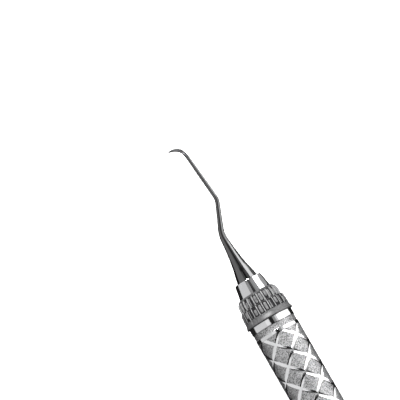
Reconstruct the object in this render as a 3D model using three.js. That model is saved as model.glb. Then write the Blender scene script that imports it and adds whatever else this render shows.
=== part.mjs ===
// A double-ended dental hand scaler: a hollow steel handle with a screw-in working end at each end.
// Each working end is a bent, tapered tip held in a polished nose cone, with a ribbed collar behind it
// to turn it by.
//
// Units are millimetres. The handle's axis runs along X with the front working end towards +X.
// The instrument lies on the surface z = 0 on the rims of its two collars. The origin is under its middle.
// The two tips are a left and right pair: the rear one is the front one turned half round and mirrored.

import * as THREE from "three";

// Handle tube, and the turned bands at each end of its grip
const HANDLE_DIAMETER = 9.5;
const HANDLE_LENGTH = 96.2;
const TUBE_BORE = 8.1;
const END_BAND = 1.37;
const BLASTED_GROOVE = 1.33;
const INNER_BAND = 0.76;
const GROOVE_DEPTH = 0.12;
const TUBE_EDGE = 0.1;

// Threaded bush pressed into each end of the tube, and the seal in its mouth
const THREAD_RADIUS = 3.0;
const BUSH_LENGTH = 9.4;
const BUSH_CHAMFER = 0.3;
const SEAL_SEAT_RADIUS = 3.75;
const SEAL_SEAT_DEPTH = 1.2;
const SEAL_RADIUS = 3.32;
const SEAL_THICKNESS = 0.76;

// Nose cone: distances run outwards from the end of the tube
const NOSE_FACE = 9.18;
const NOSE_FACE_RADIUS = 2.9;
const NOSE_BASE_RADIUS = 3.47;
const NOSE_EDGE = 0.18;
const NOSE_SHOULDER_RADIUS = 3.54;
const NOSE_SHOULDER = 5.3;
const NECK_RADIUS = 2.9;
const STUD_LENGTH = 7.0;
const STUD_CHAMFER = 0.35;

// Collar
const COLLAR_LENGTH = 6.1;
const LIP_RADIUS = 5.2;
const SKIRT_RADIUS = 4.92;
const REAR_TIER_RADIUS = 4.84;
const FRONT_TIER_RADIUS = 4.46;
const COLLAR_FRONT_RADIUS = 3.82;
const TIER_STEP = 3.55;
const RIB_COUNT = 20;
const RIB_DEPTH = 0.16;

// Tip: a stem held in the nose cone, then the shank and the blade
const STEM_RADIUS = 1.3;
const STEM_LENGTH = 8.0;
const TIP_SEAT_DEPTH = 0.3;
const SHANK_BASE_RADIUS = 2.27;
const BLADE_SWELL = 1.35; // of the blade's three edges beyond the round shank

// The shank's centreline from the nose face: straight runs joined by bends.
// turn is in the plane of the hook, towards +Y, and lift is out of it, towards +Z.
const SHANK_PATH = [
  { run: 9.4, radius: 6.0, turn: -22.7, lift: 0 },
  { run: 5.2, radius: 3.4, turn: 27.6, lift: -3 },
  { run: 9.7, radius: 3.0, turn: 19.2, lift: -5 },
  { run: 0.5, radius: 2.1, turn: 41.9, lift: -7 },
  { run: 0.5, radius: 2.2, turn: 20.2, lift: -3 },
  { run: 0.4 },
];

// The shank's half-thickness at shares of its length, and how far its section has gone
// from round to triangular
const SHANK_TAPER = [
  { at: 0, radius: 2.27, blade: 0 },
  { at: 0.05, radius: 1.92, blade: 0 },
  { at: 0.1, radius: 1.52, blade: 0 },
  { at: 0.15, radius: 1.24, blade: 0 },
  { at: 0.2, radius: 1.02, blade: 0 },
  { at: 0.26, radius: 0.82, blade: 0 },
  { at: 0.33, radius: 0.65, blade: 0 },
  { at: 0.42, radius: 0.53, blade: 0 },
  { at: 0.55, radius: 0.45, blade: 0 },
  { at: 0.87, radius: 0.38, blade: 0 },
  { at: 0.915, radius: 0.32, blade: 1 },
  { at: 0.96, radius: 0.25, blade: 1 },
  { at: 0.985, radius: 0.15, blade: 1 },
  { at: 1, radius: 0.04, blade: 1 },
];

const GAP = 0.05; // between pieces that touch
const FACETS = 40;
const SEAL_FACETS = 24;
const SHANK_SIDES = 18;
const RUN_STEP = 1.2; // between the shank's rings on a straight run
const BEND_STEP = 7; // and in a bend, in degrees

// The collar's rim is a polygon with one side to each rib, and it stands on one of these sides.
const RIM_FLAT = Math.cos(Math.PI / RIB_COUNT);
const AXIS_HEIGHT = LIP_RADIUS * RIM_FLAT;

const steel = new THREE.MeshStandardMaterial({ color: 0xc9cbce, roughness: 0.3, metalness: 1 });
const polishedSteel = new THREE.MeshStandardMaterial({ color: 0xd6d7d9, roughness: 0.08, metalness: 1 });
const hardSteel = new THREE.MeshStandardMaterial({ color: 0xb4b5b8, roughness: 0.12, metalness: 1 });
const greyResin = new THREE.MeshStandardMaterial({ color: 0x6e6f71, roughness: 0.45, metalness: 0 });
const sealRubber = new THREE.MeshStandardMaterial({ color: 0x222222, roughness: 0.7, metalness: 0 });

// A solid of revolution about X. The profile is [x, radius] pairs, closed on itself or on the axis.
function turned(profile, facets) {
  const points = profile.map(([x, radius]) => new THREE.Vector2(radius, x));
  return new THREE.LatheGeometry(points, facets).rotateZ(-Math.PI / 2);
}

function piece(name, geometry, material) {
  const mesh = new THREE.Mesh(geometry, material);
  mesh.name = name;
  return mesh;
}

// The tube's outer profile at one end, from the grip outwards; side is +1 or -1.
function tubeEnd(side) {
  const radius = HANDLE_DIAMETER / 2;
  const end = HANDLE_LENGTH / 2;
  const grooveOuter = end - END_BAND;
  const grooveInner = grooveOuter - BLASTED_GROOVE;
  const steps = [
    [grooveInner - INNER_BAND, radius],
    [grooveInner, radius],
    [grooveInner + GROOVE_DEPTH, radius - GROOVE_DEPTH],
    [grooveOuter - GROOVE_DEPTH, radius - GROOVE_DEPTH],
    [grooveOuter, radius],
    [end - TUBE_EDGE, radius],
    [end, radius - TUBE_EDGE],
    [end, TUBE_BORE / 2],
  ];
  return steps.map(([x, r]) => [side * x, r]);
}

function handleTube() {
  const rear = tubeEnd(-1).reverse();
  const front = tubeEnd(1);
  return turned([...rear, ...front, rear[0]], FACETS);
}

function endBush() {
  const outer = TUBE_BORE / 2 - GAP;
  return turned(
    [
      [-BUSH_LENGTH, THREAD_RADIUS],
      [-BUSH_LENGTH, outer - BUSH_CHAMFER],
      [-BUSH_LENGTH + BUSH_CHAMFER, outer],
      [-GAP, outer],
      [-GAP, SEAL_SEAT_RADIUS],
      [-SEAL_SEAT_DEPTH, SEAL_SEAT_RADIUS],
      [-SEAL_SEAT_DEPTH, THREAD_RADIUS],
      [-BUSH_LENGTH, THREAD_RADIUS],
    ],
    FACETS,
  );
}

function sealRing() {
  const section = SEAL_THICKNESS / 2;
  const middle = -(GAP + SEAL_SEAT_DEPTH) / 2;
  const ring = new THREE.TorusGeometry(SEAL_RADIUS, section, 8, SEAL_FACETS);
  return ring.rotateY(Math.PI / 2).translate(middle, 0, 0);
}

function noseCone() {
  const seatRadius = SHANK_BASE_RADIUS + GAP;
  const boreEnd = NOSE_FACE - STEM_LENGTH - GAP;
  return turned(
    [
      [-STUD_LENGTH, 0],
      [-STUD_LENGTH, NECK_RADIUS - STUD_CHAMFER],
      [-STUD_LENGTH + STUD_CHAMFER, NECK_RADIUS],
      [NOSE_SHOULDER, NECK_RADIUS],
      [NOSE_SHOULDER, NOSE_SHOULDER_RADIUS],
      [COLLAR_LENGTH, NOSE_BASE_RADIUS],
      [NOSE_FACE - NOSE_EDGE, NOSE_FACE_RADIUS],
      [NOSE_FACE - NOSE_EDGE / 3, NOSE_FACE_RADIUS - NOSE_EDGE / 3],
      [NOSE_FACE, NOSE_FACE_RADIUS - NOSE_EDGE],
      [NOSE_FACE, seatRadius],
      [NOSE_FACE - TIP_SEAT_DEPTH, seatRadius],
      [NOSE_FACE - TIP_SEAT_DEPTH, STEM_RADIUS + GAP],
      [boreEnd, STEM_RADIUS + GAP],
      [boreEnd, 0],
    ],
    FACETS,
  );
}

// The collar's rows from its rear face outwards. A ribbed row has its valleys cut in by RIB_DEPTH,
// and a rim row has a flat side in line with each rib.
const COLLAR_ROWS = [
  { x: GAP, radius: NECK_RADIUS + GAP },
  { x: GAP, radius: LIP_RADIUS - 0.1, rim: true },
  { x: 0.14, radius: LIP_RADIUS, rim: true },
  { x: 0.34, radius: LIP_RADIUS, rim: true },
  { x: 0.75, radius: SKIRT_RADIUS + 0.04 },
  { x: 1.35, radius: SKIRT_RADIUS },
  { x: 1.5, radius: SKIRT_RADIUS, ribbed: true },
  { x: 3.1, radius: REAR_TIER_RADIUS, ribbed: true },
  { x: TIER_STEP - 0.12, radius: REAR_TIER_RADIUS - 0.2, ribbed: true },
  { x: TIER_STEP, radius: FRONT_TIER_RADIUS },
  { x: 3.75, radius: FRONT_TIER_RADIUS, ribbed: true },
  { x: 4.9, radius: FRONT_TIER_RADIUS - 0.1, ribbed: true },
  { x: 5.55, radius: FRONT_TIER_RADIUS - 0.26, ribbed: true },
  { x: COLLAR_LENGTH - 0.1, radius: COLLAR_FRONT_RADIUS },
  { x: COLLAR_LENGTH, radius: COLLAR_FRONT_RADIUS - 0.15 },
  { x: COLLAR_LENGTH, radius: NOSE_SHOULDER_RADIUS + GAP },
  { x: NOSE_SHOULDER - GAP, radius: NOSE_SHOULDER_RADIUS + GAP },
  { x: NOSE_SHOULDER - GAP, radius: NECK_RADIUS + GAP },
  { x: GAP, radius: NECK_RADIUS + GAP },
];

function idCollar() {
  const facets = 2 * RIB_COUNT;
  const geometry = turned(
    COLLAR_ROWS.map((row) => [row.x, row.radius]),
    facets,
  );
  const position = geometry.getAttribute("position");
  for (let i = 0; i < position.count; i++) {
    const row = COLLAR_ROWS[i % COLLAR_ROWS.length];
    const isCrown = Math.floor(i / COLLAR_ROWS.length) % 2 === 0;
    let scale = 1;
    if (row.rim && isCrown) scale = RIM_FLAT;
    if (row.ribbed && !isCrown) scale = 1 - RIB_DEPTH / row.radius;
    position.setY(i, position.getY(i) * scale);
    position.setZ(i, position.getZ(i) * scale);
  }
  return geometry;
}

// The shank's rings, walked along its runs and bends: where each is, which way it faces
// and its share of the way to the end.
function shankRings() {
  const SUBSTEPS = 10;
  const rings = [];
  const point = new THREE.Vector3(NOSE_FACE, 0, 0);
  const heading = new THREE.Vector3(1, 0, 0);
  const hookAxis = new THREE.Vector3(0, 0, 1);
  let travelled = 0;
  const record = () => rings.push({ point: point.clone(), heading: heading.clone(), travelled });
  const walk = (length, turn, lift, count) => {
    const steps = count * SUBSTEPS;
    for (let i = 0; i < steps; i++) {
      if (i % SUBSTEPS === 0) record();
      const liftAxis = new THREE.Vector3().crossVectors(heading, hookAxis).normalize();
      heading.applyAxisAngle(hookAxis, THREE.MathUtils.degToRad(turn) / steps);
      heading.applyAxisAngle(liftAxis, THREE.MathUtils.degToRad(lift) / steps);
      point.addScaledVector(heading, length / steps);
      travelled += length / steps;
    }
  };
  for (const { run, radius, turn, lift } of SHANK_PATH) {
    walk(run, 0, 0, Math.ceil(run / RUN_STEP));
    if (!radius) continue;
    const bend = Math.hypot(turn, lift);
    walk(radius * THREE.MathUtils.degToRad(bend), turn, lift, Math.ceil(bend / BEND_STEP));
  }
  record();
  return rings.map((ring) => ({ ...ring, share: ring.travelled / travelled }));
}

// A value of the taper table at a share of the shank's length
function taperAt(share, key) {
  const next = Math.max(1, SHANK_TAPER.findIndex((entry) => entry.at >= share - 1e-9));
  const [a, b] = [SHANK_TAPER[next - 1], SHANK_TAPER[next]];
  return THREE.MathUtils.mapLinear(share, a.at, b.at, a[key], b[key]);
}

// The reach of the shank's section at an angle: round, or a triangle as blade nears 1.
// The triangle has a flat face on the inner side of the hook and a ridge along its back.
function bladeReach(angle, blade) {
  const third = (2 * Math.PI) / 3;
  const ridge = -Math.PI / 2;
  const fromCorner = THREE.MathUtils.euclideanModulo(angle - ridge, third);
  const triangle = Math.cos(third / 2) / Math.cos(fromCorner - third / 2);
  return THREE.MathUtils.lerp(1, BLADE_SWELL * triangle, blade);
}

// The tip is a capped cylinder with its rings moved onto the stem, the shank and the blade.
function scalerTip() {
  const shoulder = NOSE_FACE - TIP_SEAT_DEPTH + GAP;
  const stem = [
    { x: NOSE_FACE - STEM_LENGTH, radius: STEM_RADIUS - 0.2 },
    { x: NOSE_FACE - STEM_LENGTH + 0.2, radius: STEM_RADIUS },
    { x: shoulder, radius: STEM_RADIUS },
    { x: shoulder, radius: SHANK_BASE_RADIUS },
  ];
  const shank = shankRings();
  const lastRing = stem.length + shank.length - 1;
  const geometry = new THREE.CylinderGeometry(1, 1, lastRing, SHANK_SIDES, lastRing);
  const position = geometry.getAttribute("position");
  const vertex = new THREE.Vector3();
  for (let i = 0; i < position.count; i++) {
    vertex.fromBufferAttribute(position, i);
    const ring = Math.round(vertex.y + lastRing / 2);
    const angle = Math.atan2(vertex.z, vertex.x);
    const reach = Math.hypot(vertex.x, vertex.z);
    if (ring < stem.length) {
      const { x, radius } = stem[ring];
      vertex.set(x, reach * radius * Math.sin(angle), reach * radius * Math.cos(angle));
    } else {
      const { point, heading, share } = shank[ring - stem.length];
      const across = new THREE.Vector3(0, 0, 1).addScaledVector(heading, -heading.z).normalize();
      const inner = new THREE.Vector3().crossVectors(across, heading);
      const blade = taperAt(share, "blade");
      const size = reach * taperAt(share, "radius") * bladeReach(angle, blade);
      vertex.copy(point);
      vertex.addScaledVector(across, size * Math.cos(angle));
      vertex.addScaledVector(inner, size * Math.sin(angle));
    }
    position.setXYZ(i, vertex.x, vertex.y, vertex.z);
  }
  return geometry;
}

// One working end, built outwards along +X from the end of the tube.
function workingEnd(side) {
  const group = new THREE.Group();
  group.add(
    piece(`${side}_end_bush`, endBush(), steel),
    piece(`${side}_seal_ring`, sealRing(), sealRubber),
    piece(`${side}_nose_cone`, noseCone(), polishedSteel),
    piece(`${side}_id_collar`, idCollar(), greyResin),
    piece(`${side}_scaler_tip`, scalerTip(), hardSteel),
  );
  return group;
}

const scaler = new THREE.Group();
scaler.position.z = AXIS_HEIGHT;
scaler.add(piece("handle_tube", handleTube(), steel));

const front = workingEnd("front");
front.position.x = HANDLE_LENGTH / 2;

const rear = workingEnd("rear");
rear.position.x = -HANDLE_LENGTH / 2;
rear.rotation.z = Math.PI;
rear.getObjectByName("rear_scaler_tip").scale.z = -1;

scaler.add(front, rear);

export default scaler;
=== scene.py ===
"""The looks of a double-ended dental hand scaler, lying on a pale table under soft studio light.

Everything is in metres in the part's own frame: the handle's axis runs along X with the front working
end towards +X, and the instrument lies on the surface z = 0. A finer mesh of each piece replaces its
CAD node.
"""

import math

import bmesh
import bpy
import numpy as np
from mathutils import Matrix, Quaternion, Vector


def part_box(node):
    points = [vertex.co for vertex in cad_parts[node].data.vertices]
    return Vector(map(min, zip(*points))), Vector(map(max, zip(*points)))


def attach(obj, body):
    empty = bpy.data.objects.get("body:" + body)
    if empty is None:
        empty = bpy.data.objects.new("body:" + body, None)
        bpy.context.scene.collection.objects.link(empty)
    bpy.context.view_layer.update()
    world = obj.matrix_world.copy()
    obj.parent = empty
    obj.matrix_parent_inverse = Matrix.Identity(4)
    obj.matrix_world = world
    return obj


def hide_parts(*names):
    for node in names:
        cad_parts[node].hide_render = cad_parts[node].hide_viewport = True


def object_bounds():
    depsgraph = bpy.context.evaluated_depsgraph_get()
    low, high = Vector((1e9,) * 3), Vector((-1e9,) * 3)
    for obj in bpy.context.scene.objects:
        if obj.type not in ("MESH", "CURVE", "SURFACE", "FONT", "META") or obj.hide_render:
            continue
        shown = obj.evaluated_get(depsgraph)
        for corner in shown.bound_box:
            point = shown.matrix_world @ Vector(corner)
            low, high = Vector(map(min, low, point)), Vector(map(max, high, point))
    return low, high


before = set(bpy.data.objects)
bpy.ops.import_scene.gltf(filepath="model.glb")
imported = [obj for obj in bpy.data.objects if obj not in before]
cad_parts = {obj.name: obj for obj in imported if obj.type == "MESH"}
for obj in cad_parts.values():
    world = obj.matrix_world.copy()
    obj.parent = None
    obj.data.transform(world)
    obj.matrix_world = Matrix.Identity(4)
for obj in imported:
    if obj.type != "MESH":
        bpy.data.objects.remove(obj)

CAD_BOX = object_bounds()
MM = 0.001
PER_METRE = 1000  # millimetres
TURN = 2 * math.pi

# ---------------------------------------------------------------- places taken from the CAD model
tube_low, tube_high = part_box("handle_tube")
AXIS_Z = (tube_low.z + tube_high.z) / 2
TUBE_END = tube_high.x
TUBE_RADIUS = (tube_high.y - tube_low.y) / 2
NOSE_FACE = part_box("front_nose_cone")[1].x - TUBE_END
STUD_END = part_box("front_nose_cone")[0].x - TUBE_END
COLLAR_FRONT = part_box("front_id_collar")[1].x - TUBE_END
BUSH_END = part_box("front_end_bush")[0].x - TUBE_END
TIP_STEM_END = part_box("front_scaler_tip")[0].x - TUBE_END

ENDS = {"front": 1, "rear": -1}

# ------------------------------------------------------- sizes of the fine detail, in millimetres
# Bands turned at each end of the tube, from its end inwards
END_BAND = 1.37
BLASTED_GROOVE = 1.33
INNER_BAND = 0.76
GROOVE_DEPTH = 0.11
GROOVE_WALL = 0.07  # how far the blasted groove's walls slope in
BAND_EDGE = 0.045  # radius of the bands' rounded edges
BAND_ROOT = 0.4  # how far the innermost band's end goes down behind the grip
TUBE_BORE_RADIUS = 4.05
TUBE_BORE_LENGTH = 16
TUBE_SIDES = 160

# Cross-hatched grip: bright shallow grooves along two sets of helices that cross at right angles
HELIX_STARTS = 6
HELIX_LEAD = 30.2
HATCH_PHASE = math.radians(10)
GROOVE_HALF_WIDTH = 0.35
GROOVE_EDGE_SLOPE = math.radians(22)
# Where the grip has points, outwards from the middle of a groove
GROOVE_SAMPLES = (0, 0.08, 0.16, 0.23, 0.3, GROOVE_HALF_WIDTH, 0.5, 0.8, 1.2)
GRIP_WELD = 0.004  # points nearer than this are one

# Threads
THREAD_PITCH = 0.75
STUD_RADIUS = 2.9
STUD_CREST = STUD_RADIUS - 0.001  # the radius that marks a row as threaded
STUD_THREAD_TOP = -0.9
STUD_THREAD_DEPTH = 0.36
STUD_THREAD_FLANK = (0.12, 0.85)  # where the flank starts and ends, on the way from root to crest
STUD_THREAD_STEPS = 170
STUD_RUNOUT = 0.5
STUD_POINT_LENGTH = 0.45
STUD_POINT = ((0, 0.45), (0.35, 0.12))  # distance from the stud's end, and depth below its radius
STUD_UNDERCUT = ((-0.8, 0.3), (-0.55, 0))  # distance from the tube's end, and depth below the radius
BUSH_THREAD_RADIUS = 3.0  # this also marks a row as threaded
BUSH_THREAD_DEPTH = 0.3
BUSH_THREAD_FLANK = (0.1, 0.9)
BUSH_THREAD_STEPS = 150

# End bush
BUSH_RADIUS = 4.0
BUSH_CHAMFER = 0.3
BUSH_MOUTH_CHAMFER = 0.25
BUSH_MOUTH_LENGTH = 0.15
BUSH_EDGE = 0.06
SEAL_SEAT_RADIUS = 3.75
SEAL_SEAT_DEPTH = 1.2
BUSH_SIDES = 64

SEAL_SIDES = 96
SEAL_SECTION_SIDES = 20

# Nose cone, from the end of the tube outwards
NOSE_SHOULDER = 5.3
NOSE_SHOULDER_RADIUS = 3.54
NOSE_BASE_RADIUS = 3.47
NOSE_CONE_START = 0.3  # beyond the collar's front
NOSE_CONE_RADIUS = 3.41
NOSE_FACE_RADIUS = 2.9
NOSE_SOCKET_DEPTH = 3
NOSE_EDGE = 0.14
NECK_EDGE = 0.05
NECK_START = -0.5  # from here outwards the cone piece has the cone's polish
NOSE_SIDES = 128

# Collar outline from its rear face outwards: distance from the tube's end, and radius
COLLAR_OUTLINE = (
    (0.05, 2.95),
    (0.05, 5.02),
    (0.10, 5.14),
    (0.18, 5.18),
    (0.3, 5.165),
    (0.6, 5.07),
    (0.9, 4.975),
    (1.1, 4.925),
    (1.3, 4.905),
    (1.75, 4.90),
    (2.4, 4.87),
    (3.05, 4.81),
    (3.4, 4.73),
    (3.52, 4.60),
    (3.57, 4.50),
    (3.62, 4.465),
    (4.0, 4.46),
    (4.5, 4.45),
    (4.95, 4.42),
    (5.35, 4.33),
    (5.65, 4.16),
    (5.9, 3.93),
    (6.05, 3.74),
    (6.1, 3.68),
    (6.1, 3.59),
    (5.4, 3.59),
)
COLLAR_BORE_RADIUS = 3.7  # nearer the axis than this the collar is plain
COLLAR_STEP = 0.06
COLLAR_MARKS = 24
SIDES_PER_MARK = 26
# Where each row of marks starts and ends, and how far its ends slope
MARK_ROWS = ((1.45, 3.42), (3.68, 5.55))
MARK_ROW_SLOPE = 0.12
# Plain marks in the pockets between the ribs: half-width, offset round the collar,
# and the share of the row that the mark fills, from and to
MARK_PADS = (
    (0.25, 0.0, (0.08, 0.92)),
    (0.23, 0.03, (0.30, 0.95)),
    (0.10, -0.16, (0.05, 0.9)),
    (0.24, 0.0, (0.08, 0.7)),
)
# Which of the marks stand side by side in each row, over and over
MARK_ORDER = ((0, 2, 1, 2, 3, 0), (0, 1, 2, 3, 2, 0))
RIB_HALF_WIDTH = 0.08
MARK_SLOPE = 0.07
MARK_RECESS = 0.24  # depth of the pockets
PAD_DEPTH = 0.04  # of the marks below the collar's surface
RIB_RAISE = 0.05  # of the ribs above it

# Shank: the path of the CAD tip, and its taper but for a slightly fuller blade
SHANK_BASE_RADIUS = 2.27
STEM_RADIUS = 1.3
STEM_CHAMFER = 0.2
TIP_SEAT_DEPTH = 0.3
GAP = 0.05  # between pieces that fit together
SHANK_PATH = (
    # straight run, then a bend: its radius, its turn in the plane of the hook and its lift out of it
    (9.4, 6.0, -22.7, 0),
    (5.2, 3.4, 27.6, -3),
    (9.7, 3.0, 19.2, -5),
    (0.5, 2.1, 41.9, -7),
    (0.5, 2.2, 20.2, -3),
    (0.4, 0, 0, 0),
)
SHANK_TAPER = (
    # share of the length, half-thickness, and how far the section has gone from round to triangular
    (0, 2.27, 0),
    (0.05, 1.92, 0),
    (0.1, 1.52, 0),
    (0.15, 1.24, 0),
    (0.2, 1.02, 0),
    (0.26, 0.82, 0),
    (0.33, 0.65, 0),
    (0.42, 0.53, 0),
    (0.55, 0.45, 0),
    (0.87, 0.38, 0),
    (0.915, 0.34, 1),
    (0.96, 0.29, 1),
    (0.985, 0.19, 1),
    (1, 0.04, 1),
)
BLADE_SWELL = 1.35  # how far out the blade's three edges are, in half-thicknesses
BLADE_START = 0.845  # share of the shank's length from which it is satin ground instead of polished
SHANK_SIDES = 48
STATION_STEP = 0.05
STATIONS_PER_RING = 3
TAPER_SMOOTHING = 31  # stations over which the corners of the taper are smoothed


# ---------------------------------------------------------------- mesh helpers
def end_matrix(side, mirrored=False):
    """From a working end's own frame, in millimetres outwards from the tube's end, to the row frame."""
    scale = Matrix.Diagonal((MM, MM, -MM if mirrored else MM, 1))
    turn = Matrix.Rotation(0 if side > 0 else math.pi, 4, "Z")
    return Matrix.Translation((side * TUBE_END, 0, AXIS_Z)) @ turn @ scale


def centre_matrix():
    """From millimetres about the middle of the handle's axis to the row frame."""
    return Matrix.Translation((0, 0, AXIS_Z)) @ Matrix.Diagonal((MM, MM, MM, 1))


def make_piece(name, verts, faces, matrix, body, nodes, materials, face_material=None, sharp=40):
    """A smooth piece that rides on a body and replaces CAD nodes.

    face_material gives each face's place in materials. Edges past sharp degrees are shaded as edges.
    """
    mesh = bpy.data.meshes.new(name)
    mesh.from_pydata([tuple(v) for v in verts], [], faces)
    mesh.transform(matrix)
    if matrix.determinant() < 0:
        mesh.flip_normals()
    for material in materials:
        mesh.materials.append(material)
    if face_material is not None:
        mesh.polygons.foreach_set("material_index", np.asarray(face_material, dtype=np.int32))
    mesh.polygons.foreach_set("use_smooth", np.ones(len(mesh.polygons), dtype=bool))
    mesh.set_sharp_from_angle(angle=math.radians(sharp))
    mesh.update()
    obj = bpy.data.objects.new(name, mesh)
    bpy.context.scene.collection.objects.link(obj)
    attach(obj, body)
    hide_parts(*nodes)


def ring_surface(rows, sides, reach=None, closed=False):
    """A surface of rings round X. rows are (x, radius), and a radius of 0 makes a pole.

    reach(x, radius, angle) can move a point in or out. Angles run from +Z towards -Y.
    closed joins the last ring to the first.
    """
    verts, rings = [], []
    for x, radius in rows:
        if radius == 0:
            rings.append([len(verts)] * sides)
            verts.append((x, 0, 0))
            continue
        start = len(verts)
        for k in range(sides):
            angle = k * TURN / sides
            r = reach(x, radius, angle) if reach else radius
            verts.append((x, -r * math.sin(angle), r * math.cos(angle)))
        rings.append(list(range(start, start + sides)))
    faces = []
    following = rings[1:] + ([rings[0]] if closed else [])
    for a, b in zip(rings, following):
        for k in range(sides):
            n = (k + 1) % sides
            corners = list(dict.fromkeys([a[k], b[k], b[n], a[n]]))
            if len(corners) >= 3:
                faces.append(corners)
    return verts, faces


def rounded(profile, radius=0.05, steps=3, keep=()):
    """The profile with its corners rounded to about the radius. keep names corners left sharp."""
    most = 0.45  # of the way to the next corner
    out = []
    for i, point in enumerate(profile):
        if i in (0, len(profile) - 1) or i in keep:
            out.append(tuple(point))
            continue
        p = Vector(point)
        a, b = Vector(profile[i - 1]) - p, Vector(profile[i + 1]) - p
        reach = min(radius, a.length * most, b.length * most)
        start, end = p + a.normalized() * reach, p + b.normalized() * reach
        for s in range(steps + 1):
            t = s / steps
            q = start.lerp(p, t).lerp(p.lerp(end, t), t)
            out.append((q.x, q.y))
    return out


def ease(value, low, high):
    """A smooth step from 0 at low to 1 at high, where high may be the smaller."""
    t = min(1, max(0, (value - low) / (high - low)))
    return t * t * (3 - 2 * t)


# ---------------------------------------------------------------- material helpers
def new_material(name):
    material = bpy.data.materials.new(name)
    material.use_nodes = True
    tree = material.node_tree
    return material, tree, tree.nodes["Principled BSDF"]


def add(tree, kind, inputs=None, **settings):
    """A node with its settings. Each input is a value or another node's output."""
    node = tree.nodes.new(kind)
    for key, value in settings.items():
        setattr(node, key, value)
    for key, value in (inputs or {}).items():
        if hasattr(value, "is_output"):
            tree.links.new(value, node.inputs[key])
        else:
            node.inputs[key].default_value = value
    return node


def object_mm(tree, stretch=(1, 1, 1)):
    """The object's own coordinates in millimetres, times a stretch along each axis."""
    place = add(tree, "ShaderNodeTexCoord").outputs["Object"]
    scale = [share * PER_METRE for share in stretch]
    return add(tree, "ShaderNodeMapping", {"Vector": place, "Scale": scale}).outputs[0]


def noise(tree, place, scale, detail, roughness=0.5):
    inputs = {"Vector": place, "Scale": scale, "Detail": detail, "Roughness": roughness}
    return add(tree, "ShaderNodeTexNoise", inputs).outputs["Fac"]


def ramp(tree, factor, low, dark, high, light):
    """Dark where the factor is below low, changing evenly to light where it is above high."""
    node = add(tree, "ShaderNodeValToRGB", {"Fac": factor})
    for element, position, colour in zip(node.color_ramp.elements, (low, high), (dark, light)):
        element.position = position
        element.color = (*colour, 1)
    return node.outputs["Color"]


def remap(tree, value, low, high, start, end):
    """The value's stretch from start to end, made to run from low to high."""
    inputs = {"Value": value, "From Min": start, "From Max": end, "To Min": low, "To Max": high}
    return add(tree, "ShaderNodeMapRange", inputs).outputs["Result"]


def bump(tree, height, strength, micrometres, under=None):
    """A normal that follows a height, on top of the normal under it if there is one."""
    inputs = {"Height": height, "Strength": strength, "Distance": micrometres * MM / 1000}
    if under is not None:
        inputs["Normal"] = under
    return add(tree, "ShaderNodeBump", inputs).outputs["Normal"]


# ---------------------------------------------------------------- materials
def metal(name, base, roughness, spread, turned=0.0, scratch=0.0, mottle=0.03):
    """Bare steel. turned and scratch are the strengths of its lathe marks round X and its scratches."""
    material, tree, shader = new_material(name)
    shader.inputs["Metallic"].default_value = 1.0
    place = object_mm(tree)
    cloud = noise(tree, place, scale=0.35, detail=4)
    stained = [part * (1 - mottle) for part in base]
    tree.links.new(ramp(tree, cloud, 0.3, stained, 0.7, base), shader.inputs["Base Color"])
    rings = noise(tree, object_mm(tree, (9, 0.35, 0.35)), scale=1.0, detail=3)
    smear = noise(tree, place, scale=1.7, detail=6)
    mixed = add(tree, "ShaderNodeMath", {0: rings, 1: smear}, operation="MULTIPLY").outputs[0]
    finish = remap(tree, mixed, roughness, roughness + spread, 0.12, 0.42)
    tree.links.new(finish, shader.inputs["Roughness"])
    normal = None
    if turned:
        normal = bump(tree, rings, turned, micrometres=20)
    if scratch:
        streaks = noise(tree, object_mm(tree, (0.8, 14, 14)), scale=1.0, detail=2)
        normal = bump(tree, remap(tree, streaks, 0, 1, 0.62, 0.72), scratch, 10, under=normal)
    if normal is not None:
        tree.links.new(normal, shader.inputs["Normal"])
    return material


def blasted_metal(name, dark, light, roughness):
    """Bead-blasted steel: a fine, even, pitted grain."""
    spread = 0.08  # of the roughness, up and down
    material, tree, shader = new_material(name)
    shader.inputs["Metallic"].default_value = 1.0
    place = object_mm(tree)
    grain = noise(tree, place, scale=5.4, detail=3, roughness=0.6)
    dimples = add(tree, "ShaderNodeTexVoronoi", {"Vector": place, "Scale": 6.5})
    each = add(tree, "ShaderNodeSeparateColor", {"Color": dimples.outputs["Color"]}).outputs["Red"]
    both = add(tree, "ShaderNodeMix", {"Factor": 0.26, "A": grain, "B": each}).outputs["Result"]
    tree.links.new(ramp(tree, both, 0.35, dark, 0.65, light), shader.inputs["Base Color"])
    finish = remap(tree, grain, roughness - spread, roughness + spread, 0.3, 0.7)
    tree.links.new(finish, shader.inputs["Roughness"])
    pits = {0: grain, 1: dimples.outputs["Distance"]}
    height = add(tree, "ShaderNodeMath", pits, operation="ADD").outputs[0]
    tree.links.new(bump(tree, height, 0.8, micrometres=30), shader.inputs["Normal"])
    return material


def collar_resin(name, dark, light, shine, ior=1.57):
    """Satin resin, finely textured, with paler rubbed edges. shine is its least roughness."""
    wear_and_highlight = (0.4, 0.4, 0.4, 1)
    material, tree, shader = new_material(name)
    place = object_mm(tree)
    cloud = noise(tree, place, scale=2.6, detail=6, roughness=0.7)
    edges = add(tree, "ShaderNodeNewGeometry").outputs["Pointiness"]
    rubbed = remap(tree, edges, 0, 0.4, 0.53, 0.62)
    colours = {0: rubbed, 6: ramp(tree, cloud, 0.38, dark, 0.62, light), 7: wear_and_highlight}
    shade = add(tree, "ShaderNodeMix", colours, data_type="RGBA").outputs[2]
    tree.links.new(shade, shader.inputs["Base Color"])
    grain = noise(tree, place, scale=9.0, detail=4)
    tree.links.new(remap(tree, grain, shine, shine + 0.12, 0.3, 0.7), shader.inputs["Roughness"])
    shader.inputs["IOR"].default_value = ior
    tree.links.new(bump(tree, grain, 0.4, micrometres=30), shader.inputs["Normal"])
    return material


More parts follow.
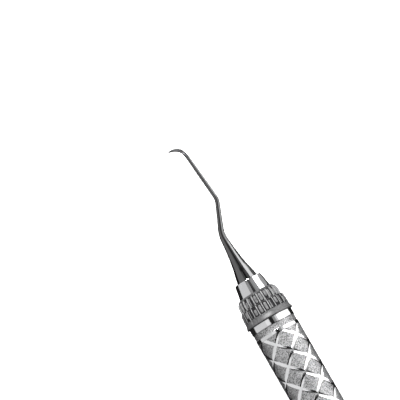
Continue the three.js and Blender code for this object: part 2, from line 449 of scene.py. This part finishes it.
def seal_rubber(name):
    """Matt black rubber with a fine grain."""
    dark, light = (0.012, 0.012, 0.013), (0.03, 0.03, 0.031)
    material, tree, shader = new_material(name)
    grain = noise(tree, object_mm(tree), scale=12.0, detail=4)
    tree.links.new(ramp(tree, grain, 0.3, dark, 0.7, light), shader.inputs["Base Color"])
    tree.links.new(remap(tree, grain, 0.5, 0.7, 0.3, 0.7), shader.inputs["Roughness"])
    tree.links.new(bump(tree, grain, 0.3, micrometres=20), shader.inputs["Normal"])
    return material


POLISHED = metal("polished_steel", (0.73, 0.73, 0.74), 0.06, 0.05, turned=0.10, scratch=0.10)
GROOVE_STEEL = metal("groove_steel", (0.89, 0.89, 0.90), 0.08, 0.08, scratch=0.12, mottle=0.12)
BLASTED = blasted_metal("blasted_steel", (0.09, 0.09, 0.092), (0.58, 0.58, 0.586), 0.50)
CONE_STEEL = metal("cone_steel", (0.69, 0.69, 0.70), 0.08, 0.03, turned=0.04, scratch=0.03)
TIP_STEEL = metal("tip_steel", (0.155, 0.155, 0.157), 0.06, 0.04, scratch=0.08, mottle=0.12)
BLADE_STEEL = metal("blade_steel", (0.085, 0.085, 0.087), 0.36, 0.10, scratch=0.15, mottle=0.12)
THREAD_STEEL = metal("thread_steel", (0.62, 0.62, 0.62), 0.22, 0.12, turned=0.1, mottle=0.1)
BORE_STEEL = metal("bore_steel", (0.50, 0.50, 0.50), 0.35, 0.15, turned=0.3, mottle=0.15)

# The collar's resin is darker down in its pockets as painted shade, and paler on its marks and ribs as
# a painted highlight on their raised tops
RESIN = collar_resin("collar_resin", (0.055, 0.055, 0.056), (0.12, 0.12, 0.122), 0.34)
# Painted shade: the pockets' resin is made darker and duller to stand in for the shade down in them
RESIN_RECESS = collar_resin(
    "collar_resin_recess", (0.008, 0.008, 0.0085), (0.022, 0.022, 0.023), 0.55, ior=1.3
)
# Painted highlight: the marks' resin is paler to stand in for the light on their raised tops
RESIN_PAD = collar_resin("collar_resin_pad", (0.12, 0.12, 0.122), (0.25, 0.25, 0.253), 0.34, ior=1.3)
RESIN_TIER = collar_resin(
    "collar_resin_tier", (0.045, 0.045, 0.046), (0.10, 0.10, 0.102), 0.40, ior=1.3
)
# Painted highlight: the ribs' resin is paler still to stand in for the light on their raised tops
RESIN_RIB = collar_resin("collar_resin_rib_highlight", (0.21, 0.21, 0.213), (0.42, 0.42, 0.424), 0.28, ior=1.35)
RUBBER = seal_rubber("seal_rubber")


# ---------------------------------------------------------------- handle
def grip_half_length():
    return TUBE_END / MM - END_BAND - BLASTED_GROOVE - INNER_BAND


def groove_depth(away):
    """How deep a groove of round section is at a distance from its middle."""
    cutter = GROOVE_HALF_WIDTH / math.sin(GROOVE_EDGE_SLOPE)
    if away >= cutter:
        return 0
    return max(0, math.sqrt(cutter**2 - away**2) - cutter * math.cos(GROOVE_EDGE_SLOPE))


def grip_lattice():
    """The grip as a bmesh, in a tile for each diamond with its share of the grooves.

    A place on the grip is (i, j), counted in grooves along each of the two sets of helices.
    """
    radius = TUBE_RADIUS / MM
    starts_per_mm = HELIX_STARTS / HELIX_LEAD
    spacing = 1 / math.hypot(starts_per_mm, HELIX_STARTS / (TURN * radius))
    half = [away / spacing for away in GROOVE_SAMPLES]
    samples = half + [0.5] + [1 - share for share in reversed(half)]
    depths = [groove_depth(min(share, 1 - share) * spacing) for share in samples]
    count = len(samples)
    rows = math.ceil(grip_half_length() * 2 * starts_per_mm) + 1

    def add_tile(bm, i, j):
        grid = []
        for a, depth_a in zip(samples, depths):
            for b, depth_b in zip(samples, depths):
                x = (i + a - j - b) / (2 * starts_per_mm)
                angle = HATCH_PHASE + (i + a + j + b) * TURN / (2 * HELIX_STARTS)
                r = radius - max(depth_a, depth_b)
                grid.append(bm.verts.new((x, -r * math.sin(angle), r * math.cos(angle))))
        for p in range(count - 1):
            for q in range(count - 1):
                corner = p * count + q
                quad = (grid[corner], grid[corner + count], grid[corner + count + 1], grid[corner + 1])
                face = bm.faces.new(quad)
                middle_p = (samples[p] + samples[p + 1]) / 2
                middle_q = (samples[q] + samples[q + 1]) / 2
                away = min(middle_p, 1 - middle_p, middle_q, 1 - middle_q) * spacing
                face.material_index = 0 if away < GROOVE_HALF_WIDTH else 1

    bm = bmesh.new()
    for difference in range(-rows, rows + 1):
        for total in range(2 * HELIX_STARTS):
            if (difference + total) % 2 == 0:
                add_tile(bm, (total + difference) // 2, (total - difference) // 2)
    return bm


def grip():
    """The cross-hatched grip: blasted diamonds between bright grooves, with its ends cut square."""
    bm = grip_lattice()
    bmesh.ops.remove_doubles(bm, verts=bm.verts, dist=GRIP_WELD)
    for side in (1, -1):
        bmesh.ops.bisect_plane(
            bm,
            geom=bm.verts[:] + bm.edges[:] + bm.faces[:],
            plane_co=(side * grip_half_length(), 0, 0),
            plane_no=(side, 0, 0),
            clear_outer=True,
        )
    bmesh.ops.recalc_face_normals(bm, faces=bm.faces)
    topmost = max(bm.faces, key=lambda face: face.calc_center_median().z)
    if topmost.normal.z < 0:
        bmesh.ops.reverse_faces(bm, faces=bm.faces)
    bm.verts.index_update()
    verts = [v.co.copy() for v in bm.verts]
    faces = [[v.index for v in face.verts] for face in bm.faces]
    face_material = [face.material_index for face in bm.faces]
    bm.free()
    make_piece(
        "handle_grip", verts, faces, centre_matrix(), "handle", ["handle_tube"],
        [GROOVE_STEEL, BLASTED], face_material, sharp=12,
    )


def tube_ends():
    """The turned bands at each end of the grip, the tube's end face and its bore."""
    radius = TUBE_RADIUS / MM
    groove_outer = -END_BAND
    groove_inner = groove_outer - BLASTED_GROOVE
    band_inner = groove_inner - INNER_BAND
    floor = radius - GROOVE_DEPTH
    outline = [
        (band_inner, radius - BAND_ROOT),
        (band_inner, radius),
        (groove_inner, radius),
        (groove_inner + GROOVE_WALL, floor),
        (groove_outer - GROOVE_WALL, floor),
        (groove_outer, radius),
        (0, radius),
        (0, TUBE_BORE_RADIUS),
        (-TUBE_BORE_LENGTH, TUBE_BORE_RADIUS),
    ]
    profile = rounded(outline, BAND_EDGE)
    margin = 0.02
    bore_limit = radius - 0.3
    polished, blasted, bore = range(3)

    def finish(x, r):
        if groove_inner < x < groove_outer and floor - margin < r < radius - margin:
            return blasted
        if r < bore_limit and x > band_inner + BAND_EDGE * 2:
            return bore
        return polished

    face_material = []
    for (x, r), (next_x, next_r) in zip(profile, profile[1:]):
        face_material += [finish((x + next_x) / 2, (r + next_r) / 2)] * TUBE_SIDES
    for name, side in ENDS.items():
        verts, faces = ring_surface(profile, TUBE_SIDES)
        make_piece(
            f"handle_bands_{name}", verts, faces, end_matrix(side), "handle", [],
            [POLISHED, BLASTED, BORE_STEEL], face_material, sharp=50,
        )


# ---------------------------------------------------------------- screwed joint
def thread_rows(start, end, radius, steps):
    """Rows of a profile close enough together to carry a thread."""
    return [(start + (end - start) * k / steps, radius) for k in range(steps + 1)]


def thread_ridge(x, angle):
    """How far up a thread's ridge a place is, from 0 at its root to 1 at its crest."""
    phase = (x / THREAD_PITCH - angle / TURN) % 1
    return 1 - abs(2 * phase - 1)


def end_bush(name, side):
    """The bush in the tube's end, with its internal thread and the seat for the seal."""
    low = BUSH_END / MM
    profile = [
        (low, BUSH_RADIUS - BUSH_CHAMFER),
        (low + BUSH_CHAMFER, BUSH_RADIUS),
        (-GAP, BUSH_RADIUS),
        (-GAP, SEAL_SEAT_RADIUS),
        (-SEAL_SEAT_DEPTH, SEAL_SEAT_RADIUS),
    ]
    profile = rounded(profile, BUSH_EDGE, 2)
    profile.append((-SEAL_SEAT_DEPTH, BUSH_THREAD_RADIUS + BUSH_MOUTH_CHAMFER))
    thread_start = -SEAL_SEAT_DEPTH - BUSH_MOUTH_LENGTH
    profile += thread_rows(thread_start, low + BUSH_CHAMFER, BUSH_THREAD_RADIUS, BUSH_THREAD_STEPS)
    profile.append((low, BUSH_THREAD_RADIUS + BUSH_MOUTH_CHAMFER))
    profile.append((low, BUSH_RADIUS - BUSH_CHAMFER))

    def reach(x, radius, angle):
        if radius != BUSH_THREAD_RADIUS:
            return radius
        return radius + BUSH_THREAD_DEPTH * ease(thread_ridge(x, angle), *BUSH_THREAD_FLANK)

    verts, faces = ring_surface(profile, BUSH_SIDES, reach)
    make_piece(
        f"{name}_end_bush_fine", verts, faces, end_matrix(side), "handle",
        [f"{name}_end_bush"], [THREAD_STEEL], sharp=50,
    )


def seal_ring(name, side):
    low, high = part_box(f"{name}_seal_ring")
    section = (high.x - low.x) / 2 / MM
    middle = ((low.x + high.x) / 2 - side * TUBE_END) * side / MM
    ring = (high.y - low.y) / 2 / MM - section
    rows = []
    for k in range(SEAL_SECTION_SIDES):
        angle = k * TURN / SEAL_SECTION_SIDES
        rows.append((middle + section * math.cos(angle), ring - section * math.sin(angle)))
    verts, faces = ring_surface(rows, SEAL_SIDES, closed=True)
    make_piece(
        f"{name}_seal_ring_fine", verts, faces, end_matrix(side), f"{name}_seal",
        [f"{name}_seal_ring"], [RUBBER],
    )


def nose_cone(name, side):
    """Cone, neck and threaded stud, with the socket that holds the tip."""
    face = NOSE_FACE / MM
    collar_front = COLLAR_FRONT / MM
    stud = STUD_END / MM
    seat_radius = SHANK_BASE_RADIUS + GAP
    seat = face - TIP_SEAT_DEPTH
    socket_radius = STEM_RADIUS + GAP
    socket_end = face - NOSE_SOCKET_DEPTH
    point = [(stud, 0)] + [(stud + x, STUD_RADIUS - depth) for x, depth in STUD_POINT]
    undercut = [(x, STUD_RADIUS - depth) for x, depth in STUD_UNDERCUT]
    neck = [
        (NOSE_SHOULDER, STUD_RADIUS),
        (NOSE_SHOULDER, NOSE_SHOULDER_RADIUS),
        (collar_front, NOSE_BASE_RADIUS),
    ]
    cone = [
        (collar_front + NOSE_CONE_START, NOSE_CONE_RADIUS),
        (face, NOSE_FACE_RADIUS),
        (face, seat_radius),
        (seat, seat_radius),
        (seat, socket_radius),
        (socket_end, socket_radius),
        (socket_end, 0),
    ]
    profile = point
    profile += thread_rows(stud + STUD_POINT_LENGTH, STUD_THREAD_TOP, STUD_CREST, STUD_THREAD_STEPS)
    profile += rounded(undercut + neck, NECK_EDGE, 2) + rounded(cone, NOSE_EDGE, 5, keep=(4, 5))

    def reach(x, radius, angle):
        if radius != STUD_CREST:
            return radius
        runout = ease(x, STUD_THREAD_TOP, STUD_THREAD_TOP - STUD_RUNOUT)
        ridge = ease(thread_ridge(x, angle), *STUD_THREAD_FLANK)
        return radius - STUD_THREAD_DEPTH * (1 - ridge * runout)

    verts, faces = ring_surface(profile, NOSE_SIDES, reach)
    face_material = [1 if np.mean([verts[v][0] for v in f]) < NECK_START else 0 for f in faces]
    make_piece(
        f"{name}_nose_cone_fine", verts, faces, end_matrix(side), f"{name}_working_end",
        [f"{name}_nose_cone"], [CONE_STEEL, THREAD_STEEL], face_material, sharp=35,
    )


# ---------------------------------------------------------------- collar
def fine_collar_outline():
    """The collar's outline with points close enough together to carry its marks."""
    fine = []
    for a, b in zip(COLLAR_OUTLINE, COLLAR_OUTLINE[1:]):
        length = math.hypot(b[0] - a[0], b[1] - a[1])
        steps = max(1, round(length / COLLAR_STEP)) if a[1] > COLLAR_BORE_RADIUS else 1
        for k in range(steps):
            fine.append((a[0] + (b[0] - a[0]) * k / steps, a[1] + (b[1] - a[1]) * k / steps))
    fine.append(COLLAR_OUTLINE[-1])
    return fine


def collar_relief(x, radius, angle):
    """How far a place is inside a row of marks, up on a rib and up on a mark, each from 0 to 1."""
    for (low, high), order in zip(MARK_ROWS, MARK_ORDER):
        field = ease(x, low - MARK_ROW_SLOPE, low) * (1 - ease(x, high, high + MARK_ROW_SLOPE))
        if field <= 0:
            continue
        place = angle / TURN * COLLAR_MARKS
        pitch = TURN * radius / COLLAR_MARKS
        across = (place % 1 - 0.5) * pitch
        from_rib = pitch / 2 - abs(across)
        rib = 1 - ease(from_rib, RIB_HALF_WIDTH, RIB_HALF_WIDTH + MARK_SLOPE)
        half, offset, (start, end) = MARK_PADS[order[int(place) % len(order)]]
        middle = low + (start + end) / 2 * (high - low)
        reach_along = (end - start) / 2 * (high - low)
        # a mark is a bar with rounded ends
        beyond = max(0, abs(x - middle) - (reach_along - half))
        away = math.hypot(across - offset, beyond)
        return field, rib, 1 - ease(away, half, half + MARK_SLOPE)
    return 0, 0, 0


def collar(name, side):
    """The collar: two rows of pockets with thin ribs between them and a plain mark in each."""
    # Pockets get a darker resin as painted shade, and marks and ribs paler ones as a painted highlight
    skirt, pocket, mark, wear_and_highlight, tier = range(5)
    materials = [RESIN, RESIN_RECESS, RESIN_PAD, RESIN_RIB, RESIN_TIER]
    outline = fine_collar_outline()
    sides = COLLAR_MARKS * SIDES_PER_MARK

    def reach(x, radius, angle):
        if radius < COLLAR_BORE_RADIUS:
            return radius
        field, rib, pad = collar_relief(x, radius, angle)
        lift = max(rib * (MARK_RECESS + RIB_RAISE), pad * (MARK_RECESS - PAD_DEPTH))
        return radius + field * (lift - MARK_RECESS)

    def finish(x, next_x, radius, angle):
        field, rib, pad = collar_relief((x + next_x) / 2, radius, angle)
        if field < 0.5:
            return skirt if x < MARK_ROWS[0][0] else tier
        # Ribs and marks take the paler resins as a painted highlight, and pockets the darker one as
        # painted shade
        if rib > 0.5:
            return wear_and_highlight
        return mark if pad > 0.5 else pocket

    verts, faces = ring_surface(outline, sides, reach)
    face_material = []
    for (x, _), (next_x, radius) in zip(outline, outline[1:]):
        face_material += [finish(x, next_x, radius, (k + 0.5) * TURN / sides) for k in range(sides)]
    make_piece(
        f"{name}_collar_fine", verts, faces, end_matrix(side), f"{name}_working_end",
        [f"{name}_id_collar"], materials, face_material, sharp=60,
    )


# ---------------------------------------------------------------- tip
def shank_stations():
    """Points of the shank's centreline with its heading and the distance so far, and its length."""
    point = Vector((NOSE_FACE / MM, 0, 0))
    heading = Vector((1, 0, 0))
    hook_axis = Vector((0, 0, 1))
    stations = []
    travelled = 0

    def walk(length, turn, lift):
        nonlocal point, heading, travelled
        count = max(1, math.ceil(length / STATION_STEP))
        for _ in range(count):
            stations.append((point.copy(), heading.copy(), travelled))
            lift_axis = heading.cross(hook_axis).normalized()
            heading = Quaternion(hook_axis, math.radians(turn) / count) @ heading
            heading = Quaternion(lift_axis, math.radians(lift) / count) @ heading
            point = point + heading * length / count
            travelled += length / count

    for run, radius, turn, lift in SHANK_PATH:
        walk(run, 0, 0)
        if radius:
            walk(radius * math.radians(math.hypot(turn, lift)), turn, lift)
    stations.append((point.copy(), heading.copy(), travelled))
    return stations, travelled


def shank_radii(stations, length):
    """The shank's half-thickness at each station, with the corners of the taper smoothed away."""
    places, radii, _ = zip(*SHANK_TAPER)
    shares = [travelled / length for _, _, travelled in stations]
    at_stations = np.interp(shares, places, radii)
    kernel = np.hanning(TAPER_SMOOTHING)
    kernel /= kernel.sum()
    padded = np.pad(at_stations, TAPER_SMOOTHING // 2, mode="reflect", reflect_type="odd")
    return np.convolve(padded, kernel, mode="valid")


def bladeness(share):
    """How far the section has gone from round to triangular at a share of the shank's length."""
    places, _, blades = zip(*SHANK_TAPER)
    return ease(float(np.interp(share, places, blades)), 0, 1)


def section_reach(angle, blade):
    """A round section, or a triangle with its flat on the hook's inner side as blade nears 1."""
    third = TURN / 3
    from_corner = (angle + math.pi / 2) % third
    triangle = math.cos(third / 2) / math.cos(from_corner - third / 2)
    return 1 + (BLADE_SWELL * triangle - 1) * blade


def stem_rings():
    """The hidden stem in the cone's socket, and the shoulder that sits in its mouth."""
    shoulder = NOSE_FACE / MM - TIP_SEAT_DEPTH + GAP
    outline = [
        (TIP_STEM_END / MM, STEM_RADIUS - STEM_CHAMFER),
        (TIP_STEM_END / MM + STEM_CHAMFER, STEM_RADIUS),
        (shoulder, STEM_RADIUS),
        (shoulder, SHANK_BASE_RADIUS),
    ]
    angles = [k * TURN / SHANK_SIDES for k in range(SHANK_SIDES)]
    rings = []
    for x, r in outline:
        rings.append([Vector((x, r * math.sin(angle), r * math.cos(angle))) for angle in angles])
    return rings


def shank_ring(point, heading, radius, blade):
    across = (Vector((0, 0, 1)) - heading * heading.z).normalized()
    inner = across.cross(heading)
    ring = []
    for k in range(SHANK_SIDES):
        angle = k * TURN / SHANK_SIDES
        size = radius * section_reach(angle, blade)
        ring.append(point + across * size * math.cos(angle) + inner * size * math.sin(angle))
    return ring


def scaler_tip(name, side):
    """Stem, shank and hooked blade, in one piece. The rear tip is the front one mirrored."""
    rings = stem_rings()
    stations, length = shank_stations()
    radii = shank_radii(stations, length)
    last_polished = 0
    for place, (point, heading, travelled) in enumerate(stations):
        if place % STATIONS_PER_RING and place != len(stations) - 1:
            continue
        if travelled < BLADE_START * length:
            last_polished = len(rings)
        rings.append(shank_ring(point, heading, radii[place], bladeness(travelled / length)))
    faces = []
    face_material = []
    for place in range(len(rings) - 1):
        start = place * SHANK_SIDES
        for k in range(SHANK_SIDES):
            a, b = start + k, start + (k + 1) % SHANK_SIDES
            faces.append([a, b, b + SHANK_SIDES, a + SHANK_SIDES])
            face_material.append(1 if place >= last_polished else 0)
    verts = [point for ring in rings for point in ring]
    faces.append(list(reversed(range(SHANK_SIDES))))
    faces.append(list(range(len(verts) - SHANK_SIDES, len(verts))))
    face_material += [0, 1]
    make_piece(
        f"{name}_tip_fine", verts, faces, end_matrix(side, mirrored=side < 0), f"{name}_working_end",
        [f"{name}_scaler_tip"], [TIP_STEEL, BLADE_STEEL], face_material, sharp=38,
    )


grip()
tube_ends()
for end_name, end_side in ENDS.items():
    end_bush(end_name, end_side)
    seal_ring(end_name, end_side)
    nose_cone(end_name, end_side)
    collar(end_name, end_side)
    scaler_tip(end_name, end_side)


# ---------------------------------------------------------------- table
TABLE_HALF_WIDTH = 1.6
TABLE_DROP = 0.0002  # clear of the collars' round rims, which reach a little lower than the CAD's flats
TABLE_GLOW = 0.72


def table_top():
    """A pale table that glows to near white for the camera and doesn't show in the polished steel."""
    bm = bmesh.new()
    bmesh.ops.create_grid(bm, x_segments=8, y_segments=8, size=TABLE_HALF_WIDTH)
    mesh = bpy.data.meshes.new("table_top")
    bm.to_mesh(mesh)
    bm.free()
    obj = bpy.data.objects.new("table_top", mesh)
    obj.location.z = min(0.0, CAD_BOX[0][2]) - TABLE_DROP
    bpy.context.scene.collection.objects.link(obj)
    material, tree, shader = new_material("pale_table")
    shader.inputs["Base Color"].default_value = (0.9, 0.9, 0.9, 1)
    shader.inputs["Roughness"].default_value = 0.9
    shader.inputs["Specular IOR Level"].default_value = 0.0
    shader.inputs["Emission Color"].default_value = (1, 1, 1, 1)
    shader.inputs["Emission Strength"].default_value = TABLE_GLOW
    mesh.materials.append(material)
    obj.visible_glossy = False
    obj.visible_diffuse = False


table_top()

# ---------------------------------------------------------------- camera
CAMERA_TILT = math.radians(7)  # back along the handle from straight above
FRAME_WIDTH = 0.08086  # what the picture spans at the target
LENS = 300
SENSOR = 36
TARGET = Vector((TUBE_END + 0.02808, 0.00025, AXIS_Z))
UP_TO_AXIS = math.radians(30)  # from the picture's upright to the handle's axis, anticlockwise


def make_camera():
    toward_camera = Vector((-math.sin(CAMERA_TILT), 0, math.cos(CAMERA_TILT)))
    along = Vector((math.cos(CAMERA_TILT), 0, math.sin(CAMERA_TILT)))
    left = Vector((0, 1, 0))
    up = along * math.cos(UP_TO_AXIS) - left * math.sin(UP_TO_AXIS)
    right = up.cross(toward_camera)
    distance = FRAME_WIDTH * LENS / SENSOR
    data = bpy.data.cameras.new("camera")
    data.lens = LENS
    data.sensor_width = SENSOR
    data.clip_start = 0.01
    data.clip_end = 20
    camera = bpy.data.objects.new("camera", data)
    turn = Matrix((right, up, toward_camera)).transposed()
    camera.matrix_world = Matrix.Translation(TARGET + toward_camera * distance) @ turn.to_4x4()
    bpy.context.scene.collection.objects.link(camera)
    bpy.context.scene.camera = camera


make_camera()

# ---------------------------------------------------------------- lights
LIGHT_DISTANCE = 0.5
RADIANCE_TO_WATTS = math.pi
# The fill boxes make the soft grey of the steel's left side in the picture, and the key boxes the
# bright bands of its right. The gaps between them are its dark lines. The front boxes light what
# faces the tip.
LIGHTS = (
    # name, angles round the handle from overhead towards -Y, reach along X, radiance
    ("fill_outer", (-104, -28), (-0.25, 0.5), 0.8),
    ("fill_inner", (-28, -7), (0.0, 0.19), 1.0),
    ("fill_inner_far", (-28, -7), (0.19, 0.37), 0.33),
    ("key_edge", (12, 24), (0.0, 0.37), 0.3),
    ("key_inner", (24, 36), (0.0, 0.19), 0.8),
    ("key_inner_far", (24, 44), (0.19, 0.37), 0.4),
    ("key_core", (36, 76), (0.0, 0.19), 2.0),
    ("key_core_far", (46, 86), (0.19, 0.43), 4.6),
    ("key_inner_back", (28, 44), (-0.3, 0.0), 0.4),
    ("key_core_back", (44, 94), (-0.3, 0.0), 3.0),
    ("key_inner_front", (24, 46), (0.37, 0.5), 0.12),
    ("key_shank", (86, 112), (0.27, 0.33), 3.0),
    ("key_outer", (76, 117), (0.0, 0.19), 1.8),
    ("key_outer_far", (86, 138), (0.19, 0.37), 0.45),
    ("front_box", (-16, 18), (0.51, 0.67), 72.0),
    ("front_low", (-16, 18), (1.0, 1.8), 5.0),
    ("front_fill", (-75, 75), (1.0, 3.0), 1.0),
)


def soft_box(name, angles, span, radiance):
    """A soft box square to the handle between two angles round it, and between two places along X."""
    low, high = (math.radians(angle) for angle in angles)
    turn = (low + high) / 2
    width = 2 * LIGHT_DISTANCE * math.tan((high - low) / 2)
    length = span[1] - span[0]
    data = bpy.data.lights.new(name, "AREA")
    data.shape = "RECTANGLE"
    data.size = width
    data.size_y = length
    data.energy = radiance * RADIANCE_TO_WATTS * width * length
    obj = bpy.data.objects.new(name, data)
    out = Vector((0, -math.sin(turn), math.cos(turn)))
    across = Vector((0, -math.cos(turn), -math.sin(turn)))
    basis = Matrix((across, out.cross(across), out)).transposed()
    centre = Vector(((span[0] + span[1]) / 2, 0, AXIS_Z)) + out * LIGHT_DISTANCE
    obj.matrix_world = Matrix.Translation(centre) @ basis.to_4x4()
    obj.visible_camera = False
    bpy.context.scene.collection.objects.link(obj)


for light in LIGHTS:
    soft_box(*light)


def make_world():
    """White behind the table for the camera, and nearly dark for everything else."""
    white = (1, 1, 1, 1)
    ambient = 0.02
    world = bpy.data.worlds.new("studio")
    bpy.context.scene.world = world
    world.use_nodes = True
    tree = world.node_tree
    tree.nodes.clear()
    seen = add(tree, "ShaderNodeBackground", {"Color": white, "Strength": 1.0})
    dim = add(tree, "ShaderNodeBackground", {"Color": white, "Strength": ambient})
    to_camera = add(tree, "ShaderNodeLightPath").outputs["Is Camera Ray"]
    mix = add(tree, "ShaderNodeMixShader", {0: to_camera, 1: dim.outputs[0], 2: seen.outputs[0]})
    add(tree, "ShaderNodeOutputWorld", {"Surface": mix.outputs[0]})


make_world()
bpy.context.scene.view_settings.view_transform = "Standard"
bpy.context.scene.view_settings.look = "None"
